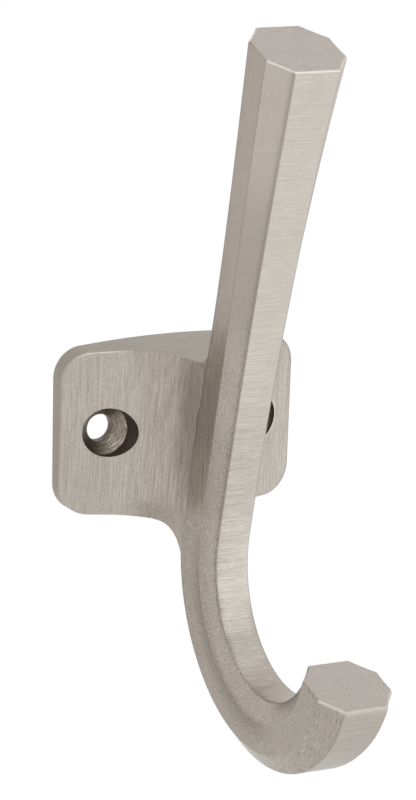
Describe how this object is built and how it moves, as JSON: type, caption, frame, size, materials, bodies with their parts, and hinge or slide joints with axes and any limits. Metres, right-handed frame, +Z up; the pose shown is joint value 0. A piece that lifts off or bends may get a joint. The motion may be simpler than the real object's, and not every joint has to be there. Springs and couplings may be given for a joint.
{
  "type": "angled coat hook",
  "caption": "One-piece double coat hook: a low screw-on base with swept wings and an eight-sided bar that leans out above and curls forward below.",
  "frame": {"origin": "middle of the flat back face of the base, midway between the two screw holes", "axes": "+X to the right as seen from the room, -Y out of the wall towards the room, +Z up"},
  "size_m": [0.044, 0.0727, 0.1212],
  "materials": {
    "satin_nickel": "brushed satin nickel plate over a zinc die casting"
  },
  "bodies": {
    "root": {"hook": "satin_nickel"}
  },
  "joints": []
}
